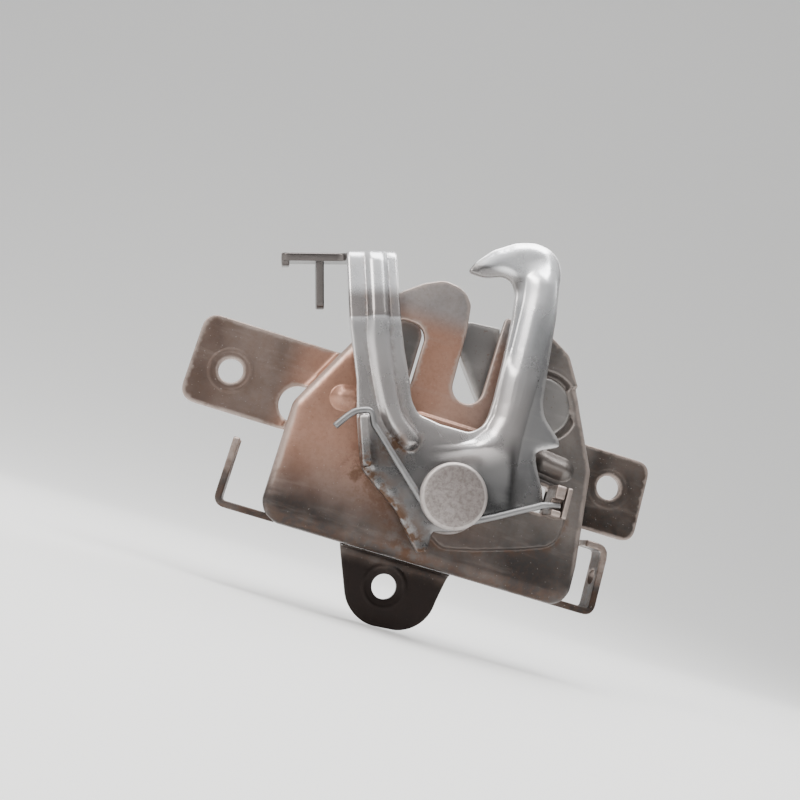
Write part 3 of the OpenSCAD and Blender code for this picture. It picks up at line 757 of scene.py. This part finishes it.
for name, c, r0, r1, d0, d1 in (("lever_washer_ring", (0, 0), 6.55, 10.4, 17.25, 19.35), ("claw_washer_ring", CLAW_C, 4.0, 8.6, 2.0, 3.2), ("pawl_washer_ring", PAWL_C, 4.0, 8.6, 2.0, 3.2)):
    w = Mesh()
    ring = []
    for r, d in ((r0, d0 + 0.2), (r0 + 0.2, d0), (r1 - 0.2, d0), (r1, d0 + 0.2), (r1, d1 - 0.2), (r1 - 0.2, d1), (r0 + 0.2, d1), (r0, d1 - 0.2)):
        ring.append((r, d))
    n = 72
    verts = [(c[0] + r * math.cos(2 * math.pi * k / n), d, c[1] + r * math.sin(2 * math.pi * k / n)) for r, d in ring for k in range(n)]
    faces = [(i * n + k, i * n + (k + 1) % n, ((i + 1) % 8) * n + (k + 1) % n, ((i + 1) % 8) * n + k) for i in range(8) for k in range(n)]
    if _inside_out(verts, faces):
        faces = [f[::-1] for f in faces]
    w.add(verts, faces, 0.3)
    washers.append(w.obj(name))

# ------------------------------------------------------------------- springs
COIL_D0, COIL_D1 = 22.0 + 0.925 + 0.15, 27.2 - 0.925 - 0.15


def coil(c, r, a0, a1, d0, d1, n):
    return [(c[0] + r * math.cos(math.radians(a0 + (a1 - a0) * i / n)), d0 + (d1 - d0) * i / n, c[1] + r * math.sin(math.radians(a0 + (a1 - a0) * i / n))) for i in range(n + 1)]


main_spring = Mesh()
tube(main_spring, [(-36.7, COIL_D1 + 0.9, 9), (-34.6, COIL_D1 + 0.9, 12.2), (-33.3, COIL_D1 + 0.9, 13.9), (-32.4, COIL_D1 + 0.8, 14.7), (-31.4, COIL_D1 + 0.7, 15.25),
                   (-30.2, COIL_D1 + 0.6, 15.75), (-29.1, COIL_D1 + 0.5, 16.05), (-28.2, COIL_D1 + 0.4, 15.8), (-27.5, COIL_D1 + 0.3, 14.8),
                   (-26.6, COIL_D1 + 0.2, 12.9)] + coil((0, 0), 8, 218, 218 + 802, COIL_D1, COIL_D0, 78)
     + [(14, COIL_D0 + 0.1, -1.6), (20, COIL_D0 + 0.6, 1.9), (26, COIL_D0 + 1.2, 5.3), (30.6, COIL_D0 + 1.45, 6.4)], 0.92, n=14, per=3)
main_spring_obj = main_spring.obj("lever_spring_wire")
claw_spring = Mesh()
tube(claw_spring, [(8, 4, 46.6)] + coil(CLAW_C, 6, 205.5, 592.8, 4, 6.1, 44) + [(26.8, 6.1, 22), (35.4, 6.1, 15.5)], 0.75, n=12, per=2)
claw_spring_obj = claw_spring.obj("claw_spring_wire")
pawl_spring = Mesh()
tube(pawl_spring, [(-45.4, 4, 7)] + coil(PAWL_C, 6, -71.9, 248.4, 4, 6.1, 38) + [(-14, 6.1, 9.2), (-8, 6.1, 6.8)], 0.75, n=12, per=2)
pawl_spring_obj = pawl_spring.obj("pawl_spring_wire")

# ------------------------------------------------------------- claw and pawl
claw_pts = [(-26.27, -5.24), (-30, -13.5), (-30.4, -17.2), (-27, -20.1), (-19.3, -19.3), (-6.5, -17.6), (-4, -18.2), (-5, -23), (-1.6, -23.4), (4.6, -17), (10.2, -9.5),
            (10, 0), (8.2, 4.4), (5.5, 7.4), (1, 9.2), (-4.4, 9.5), (-13.5, 10.3), (-24.5, 7.8), (-26, 5.4)]
shut = claw_pts + arc((-22.85, -1.55), 4.75, 90, -90, 16)
g = math.radians(-60)
claw_loop = [(CLAW_C[0] + x * math.cos(g) - z * math.sin(g), CLAW_C[1] + x * math.sin(g) + z * math.cos(g)) for x, z in shut]
claw = Mesh()
sheet(claw, rounded(claw_loop, 2.0, {0: 0.8, 6: 0.8, 7: 0.6, 8: 0.6, 17: 1.2, 18: 0.6, **{i: 0 for i in range(19, 40)}}), [arc(CLAW_C, 4.05, 0, 352, 44)], front=11.5, back=7.0, rf=0.5, rb=0.4, step=2.5, h=0.6)
claw_obj = claw.obj("claw_plate")
pawl_pts = [(-29.3, 30), (-29.5, 44), (-27, 48), (-21, 48), (-19.3, 45), (-19.3, 27), (-17.4, 20), (-16, 14.4), (-11.5, 11), (0, 10.2), (14.3, 9.9), (13.7, 4.6), (0, 4.6), (-11, 3.8),
            (-19, 7.6), (-22, 1), (-23.5, -9), (-27, -11.6), (-30.6, -9.4), (-30, 0), (-32.2, 11), (-33, 20)]
pawl = Mesh()
sheet(pawl, rounded(pawl_pts, 3.0, {10: 0.6, 11: 0.6}), [arc(PAWL_C, 4.05, 0, 352, 44), arc((-27, -6.6), 2.2, 0, 350, 35)], front=11.5, back=7.0, rf=0.5, rb=0.4, step=2.5, h=0.6)
pawl_obj = pawl.obj("pawl_plate")


# ----------------------------------------------------------------- materials
def metal(name, tones, worn_and_sheen, metallic, rough, rust_and_shade=(0.15, 0.07, 0.032), grime_and_shade_amount=0.5, grain=1.0, speck=0.4, cloudy=0.18, rim=0.5, rim_low=None, mottle=0.0, over=None, dust=0.0, bands=()):
    """Satin sheet steel. tones holds (direction, from, to, colour): each colour takes over along its direction across
    the part; these gradients paint in light and shade as well as the finish's own tone.
    Over them lie a cloudy tone, fine grain, thin rubbed rims that also carry a painted sheen, bands of painted
    highlight and shade, soiling and rusting where it gathers with painted shade in the same mask, and a last
    painted-shade darkening (over)."""
    mat = bpy.data.materials.new(name)
    mat.use_nodes = True
    nt = mat.node_tree
    nt.nodes.clear()
    out = nt.nodes.new("ShaderNodeOutputMaterial")
    bs = nt.nodes.new("ShaderNodeBsdfPrincipled")
    nt.links.new(bs.outputs[0], out.inputs[0])
    co = nt.nodes.new("ShaderNodeTexCoord")

    def noise(scale, detail, rough_n=0.55, stretch=None):
        n = nt.nodes.new("ShaderNodeTexNoise")
        n.inputs["Scale"].default_value = scale
        n.inputs["Detail"].default_value = detail
        n.inputs["Roughness"].default_value = rough_n
        src = co.outputs["Object"]
        if stretch:
            mp = nt.nodes.new("ShaderNodeMapping")
            mp.inputs["Scale"].default_value = stretch
            mp.inputs["Rotation"].default_value = (0.0, 0.35, 0.0)
            nt.links.new(src, mp.inputs["Vector"])
            src = mp.outputs[0]
        nt.links.new(src, n.inputs["Vector"])
        return n.outputs["Fac"]

    def ramp(src, a, b, lo=0.0, hi=1.0):
        r = nt.nodes.new("ShaderNodeMapRange")
        r.interpolation_type = "SMOOTHSTEP"
        for key, v in (("From Min", a), ("From Max", b), ("To Min", lo), ("To Max", hi)):
            r.inputs[key].default_value = v
        nt.links.new(src, r.inputs["Value"])
        return r.outputs["Result"]

    def mix(fac, a, b):
        m = nt.nodes.new("ShaderNodeMix")
        m.data_type = "RGBA"
        nt.links.new(fac, m.inputs["Factor"])
        for sock, v in zip([i for i in m.inputs if i.type == "RGBA"], (a, b)):
            if isinstance(v, tuple):
                sock.default_value = (*v, 1)
            else:
                nt.links.new(v, sock)
        return [o for o in m.outputs if o.type == "RGBA"][0]

    def math_node(op, a, b):
        m = nt.nodes.new("ShaderNodeMath")
        m.operation = op
        m.use_clamp = op in ("MULTIPLY", "ADD")
        for i, v in enumerate((a, b)):
            if isinstance(v, (int, float)):
                m.inputs[i].default_value = v
            else:
                nt.links.new(v, m.inputs[i])
        return m.outputs[0]

    def attribute(key):
        a = nt.nodes.new("ShaderNodeAttribute")
        a.attribute_name = key
        return a.outputs["Fac"]

    cloud = noise(48, 4)
    col = tones[0]

    def along(way, a, b, hi=1.0):
        dot = nt.nodes.new("ShaderNodeVectorMath")
        dot.operation = "DOT_PRODUCT"
        nt.links.new(co.outputs["Object"], dot.inputs[0])
        dot.inputs[1].default_value = way
        return ramp(dot.outputs["Value"], a / 1000, b / 1000, 0.0, hi)

    # tone gradients along set directions: partly the finish's own tone, partly painted light and shade
    for way, a, b, colour in tones[1:]:
        col = mix(along(way, a, b), col, colour)
    col = mix(ramp(cloud, 0.36, 0.68, 0.0, cloudy), col, worn_and_sheen)
    smear = noise(230, 5, 0.6, (0.25, 1.0, 1.6))
    col = mix(ramp(smear, 0.52, 0.76, 0.0, 0.12), col, worn_and_sheen)
    spots = noise(1100, 2, 0.5)
    col = mix(ramp(spots, 0.63, 0.76, 0.0, speck), col, rust_and_shade)
    if mottle:
        col = mix(ramp(noise(800, 4, 0.7), 0.4, 0.66, 0.0, mottle), col, rust_and_shade)
    if dust:
        col = mix(ramp(noise(1700, 1, 0.4), 0.72, 0.8, 0.0, dust), col, (0.62, 0.6, 0.57))
    # rims in the lighter tone: partly edge wear, partly a painted sheen on the rounded edges; rim_low fades it out
    # lower down so the painted sheen stays on the upper edges
    edge = math_node("MULTIPLY", attribute("edge"), ramp(noise(300, 3), 0.25, 0.6, 0.6, 1.0))
    if rim_low:
        edge = math_node("MULTIPLY", edge, math_node("ADD", along((0, 0, 1), rim_low[0], rim_low[1], 0.7), 0.3))
    col = mix(ramp(edge, 0.3, 0.95, 0.0, rim), col, worn_and_sheen)
    # bands: painted highlights and painted shade laid on over the tones
    for first, *others, colour in bands:
        cover = along(*first)
        for limit in others:
            cover = math_node("MULTIPLY", cover, along(*limit))
        col = mix(cover, col, colour)
    # soiling mask, which on the plate also carries painted shade, mixed toward the dark brown tone
    grime_and_shade = math_node("MULTIPLY", attribute("dirt_and_shade"), ramp(noise(330, 5, 0.65), 0.38, 0.6, 0.0, grime_and_shade_amount * 2))
    col = mix(grime_and_shade, col, rust_and_shade)
    # over: a last darkening along one direction, painting in shade
    if over:
        col = mix(along(over[0], over[1], over[2], 0.92), col, over[3])
    nt.links.new(col, bs.inputs["Base Color"])
    bs.inputs["Metallic"].default_value = metallic
    grain_n = noise(1500, 3, 0.6)
    r0 = ramp(cloud, 0.3, 0.7, rough - 0.04, rough + 0.06)
    r1 = math_node("ADD", r0, ramp(grain_n, 0.4, 0.65, 0.0, 0.07 * min(grain, 1.0)))
    r2 = math_node("ADD", r1, math_node("MULTIPLY", grime_and_shade, 0.35))
    nt.links.new(r2, bs.inputs["Roughness"])
    bump = nt.nodes.new("ShaderNodeBump")
    bump.inputs["Strength"].default_value = 0.15 * grain
    bump.inputs["Distance"].default_value = 0.0002
    height = math_node("ADD", math_node("MULTIPLY", grain_n, 0.5), math_node("MULTIPLY", noise(200, 4), 0.5))
    nt.links.new(height, bump.inputs["Height"])
    nt.links.new(bump.outputs[0], bs.inputs["Normal"])
    return mat


# Plate tones: the brown on the left fading to grey at the right and top is partly the coating's own brown-grey and
# partly a painted warm reflection; the darkening downwards and on the ears is painted shade, and over paints the bottom
# ear in flat painted shade.
base_mat = metal("plate_steel", [(0.36, 0.195, 0.137), ((0, 0, 1), 25, 35, (0.27, 0.25, 0.245)), ((-1, 0, 0), 37, 48, (0.10, 0.07, 0.058)), ((1, 0, 0), -2, 32, (0.11, 0.103, 0.098)),
                                 ((0, 0, -1), 10, 35, (0.032, 0.028, 0.027)), ((0, 0, -1), 38, 44, (0.012, 0.009, 0.008)), ((1, 0, 0), 51, 56, (0.016, 0.015, 0.0145))],
                 (0.46, 0.38, 0.34), 0.7, 0.36, rust_and_shade=(0.10, 0.05, 0.028), grime_and_shade_amount=0.4, speck=0.2, rim=0.6, rim_low=(-36, -20), mottle=0.14, dust=0.22, over=((0, 0, -1), 41, 45, (0.014, 0.009, 0.0078)))
# Lever tones: the lighter hook at the top is a painted highlight; the darkening downwards and on the right facet is
# painted shade and painted dark reflection.
lever_mat = metal("hook_steel", [(0.58, 0.585, 0.60), ((0, 0, -1), -34, -6, (0.46, 0.435, 0.43)), ((1, 0, 0), 23, 28, (0.24, 0.24, 0.245)), ((0, 0, -1), 2, 14, (0.165, 0.162, 0.163)),
                                 ((0, 0, 1), 38, 52, (0.78, 0.79, 0.81)), ((0.5, 0, 0.866), 40, 52, (0.93, 0.94, 0.96))],
                  (0.66, 0.64, 0.63), 0.85, 0.26, rust_and_shade=(0.10, 0.06, 0.04), grime_and_shade_amount=0.7, speck=0.0, cloudy=0.12, grain=0.12, rim_low=(-22, 0),
                  # band 1: painted dark reflection across the arm just above its bend
                  bands=((((-0.308, 0, 0.951), 30.3, 31.1), ((0.308, 0, -0.951), -41.5, -36.5), ((-1, 0, 0), 4, 12, 0.88), (0.16, 0.142, 0.136)),
                         # band 2: painted dark reflection on the body to the right of the rivet
                         (((0.966, 0, 0.259), 10.3, 13.3), ((0.626, 0, -0.78), 11.2, 19), ((-0.966, 0, -0.259), -25, -22, 0.85), (0.055, 0.055, 0.056)),
                         # band 3: painted highlight along the bottom of the U
                         (((0.626, 0, -0.78), 7, 9), ((-0.626, 0, 0.78), -12, -10.4), ((0.78, 0, 0.626), 3, 8), ((-0.966, 0, -0.259), -19, -15.5, 0.7), (0.72, 0.72, 0.73)),
                         # band 4: painted shade as a dark line under the hook's nose; over: the handle toward the back
                         # darkened as painted shade
                         (((0, 0, -1), -50.2, -48.4), ((0, 0, 1), 43, 46), ((1, 0, 0), -8, -5), ((-1, 0, 0), -15.5, -12.5, 0.75), (0.09, 0.075, 0.068))), over=((0, 1, 0), -14, -10, (0.055, 0.045, 0.041)))
claw_mat = metal("catch_steel", [(0.20, 0.19, 0.185)], (0.5, 0.48, 0.46), 0.85, 0.38, grime_and_shade_amount=0.5)
rivet_mat = metal("rivet_head_steel", [(0.25, 0.222, 0.212)], (0.56, 0.52, 0.5), 0.7, 0.48, rust_and_shade=(0.09, 0.065, 0.055), grain=3.0, speck=0.6, cloudy=0.3, mottle=0.5)
spring_mat = metal("wire_steel", [(0.21, 0.208, 0.21)], (0.46, 0.455, 0.45), 0.9, 0.46, grime_and_shade_amount=0.3, speck=0.35, grain=0.6)

pieces = [(base_obj, "base_plate base_walls", "base", base_mat, "base_steel"), (lever_obj, "safety_lever", "lever", lever_mat, "lever_steel"),
          (rivet_obj, "lever_rivet", "base", rivet_mat, "rivet_steel"), (claw_rivet_obj, "claw_rivet", "base", claw_mat, "claw_steel"),
          (pawl_rivet_obj, "pawl_rivet", "base", rivet_mat, "rivet_steel"), (washers[0], "lever_washer", "base", rivet_mat, "rivet_steel"),
          (washers[1], "claw_washer", "base", rivet_mat, "rivet_steel"), (washers[2], "pawl_washer", "base", rivet_mat, "rivet_steel"),
          (claw_obj, "claw", "claw", claw_mat, "claw_steel"), (pawl_obj, "pawl", "pawl", claw_mat, "claw_steel")]
for o, node, body, mat, slot in pieces:
    o.data.materials.append(mat)
    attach(o, body)
    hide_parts(*node.split())
# each wound spring sits between the base and the piece that its free leg pushes; it gets its finish and a baked
# transform, and its CAD part is hidden
for o, node, body, c, d, a, b in ((main_spring_obj, "lever_spring", "lever", (0, 0), 24.5, (9, 1), (-12, 3)),
                                  (claw_spring_obj, "claw_spring", "claw", CLAW_C, 5, (4, -7), (-5, 5)),
                                  (pawl_spring_obj, "pawl_spring", "pawl", PAWL_C, 5, (-5, -3), (5, -4))):
    o.data.materials.append(spring_mat)
    pt = [((c[0] + q[0] + PX) / 1000, -d / 1000, (c[1] + q[1] + PZ) / 1000) for q in (a, b)]
    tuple(pt[0])
    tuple(pt[1])
    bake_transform(o)
    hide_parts(node)

# --------------------------------------------------------------------- stage
floor_z = cad_box[0][2] - 0.0002
prof = [(-2.5, 0.0), (0.5, 0.0)] + [(0.5 + 1.6 * math.sin(a), 1.6 - 1.6 * math.cos(a)) for a in np.linspace(0.05, math.pi / 2, 30)] + [(2.1, 3.2)]
verts = [(x, y, floor_z + z) for y, z in prof for x in (-3.0, 3.0)]
faces = [(2 * i, 2 * i + 1, 2 * i + 3, 2 * i + 2) for i in range(len(prof) - 1)]
fm = bpy.data.meshes.new("floor")
fm.from_pydata(verts, [], faces)
fm.shade_smooth()
floor = bpy.data.objects.new("floor", fm)
bpy.context.scene.collection.objects.link(floor)
floor_mat = bpy.data.materials.new("floor_paint")
floor_mat.use_nodes = True
fb = floor_mat.node_tree.nodes["Principled BSDF"]
fb.inputs["Base Color"].default_value = (0.72, 0.72, 0.71, 1)
fb.inputs["Roughness"].default_value = 0.85
fb.inputs["Emission Color"].default_value = (1, 1, 1, 1)
fb.inputs["Emission Strength"].default_value = 0.3
fm.materials.append(floor_mat)


def area_light(name, pos, target, size, power, color=(1, 1, 1)):
    l = bpy.data.lights.new(name, "AREA")
    l.shape = "RECTANGLE"
    l.size, l.size_y = size
    l.energy = power
    l.color = color
    o = bpy.data.objects.new(name, l)
    o.location = pos
    o.rotation_euler = (Vector(target) - Vector(pos)).to_track_quat("-Z", "Y").to_euler()
    bpy.context.scene.collection.objects.link(o)
    return o


area_light("top_softbox", (-0.05, -0.12, 0.75), (0, 0, 0), (0.8, 0.45), 12.0)
area_light("left_softbox", (-0.75, -0.55, 0.55), (0, 0, 0), (0.5, 0.5), 8.0, (1.0, 0.96, 0.92))
area_light("back_rim", (0.3, 0.5, 0.55), (0, 0, 0), (0.5, 0.4), 3.0)
world = bpy.data.worlds.new("studio")
bpy.context.scene.world = world
world.use_nodes = True
wt = world.node_tree
bg = wt.nodes["Background"]
sky = wt.nodes.new("ShaderNodeTexCoord")
lift = wt.nodes.new("ShaderNodeVectorMath")
lift.operation = "DOT_PRODUCT"
lift.inputs[1].default_value = (-0.3, 0.15, 0.94)
wt.links.new(sky.outputs["Generated"], lift.inputs[0])
grade = wt.nodes.new("ShaderNodeMapRange")
grade.interpolation_type = "SMOOTHSTEP"
for key, v in (("From Min", -0.25), ("From Max", 0.75), ("To Min", 0.12), ("To Max", 0.95)):
    grade.inputs[key].default_value = v
wt.links.new(lift.outputs["Value"], grade.inputs["Value"])
wt.links.new(grade.outputs["Result"], bg.inputs["Strength"])
bg.inputs["Color"].default_value = (0.9, 0.9, 0.9, 1)

# -------------------------------------------------------------------- camera
EL, YA, RO = math.radians(-10), math.radians(5), math.radians(16.5)
F = Vector((math.sin(YA) * math.cos(EL), math.cos(YA) * math.cos(EL), -math.sin(EL)))
r0 = Vector((math.cos(YA), -math.sin(YA), 0))
u0 = r0.cross(F)
R = math.cos(RO) * r0 + math.sin(RO) * u0
U = -math.sin(RO) * r0 + math.cos(RO) * u0
cam_data = bpy.data.cameras.new("camera")
cam_data.sensor_width = 36
cam_data.lens = 40.5
cam_data.clip_start = 0.01
cam = bpy.data.objects.new("camera", cam_data)
m = Matrix(((R.x, U.x, -F.x, -0.03304), (R.y, U.y, -F.y, -0.27206), (R.z, U.z, -F.z, -0.04105), (0, 0, 0, 1)))
cam.matrix_world = m
bpy.context.scene.collection.objects.link(cam)
bpy.context.scene.camera = cam
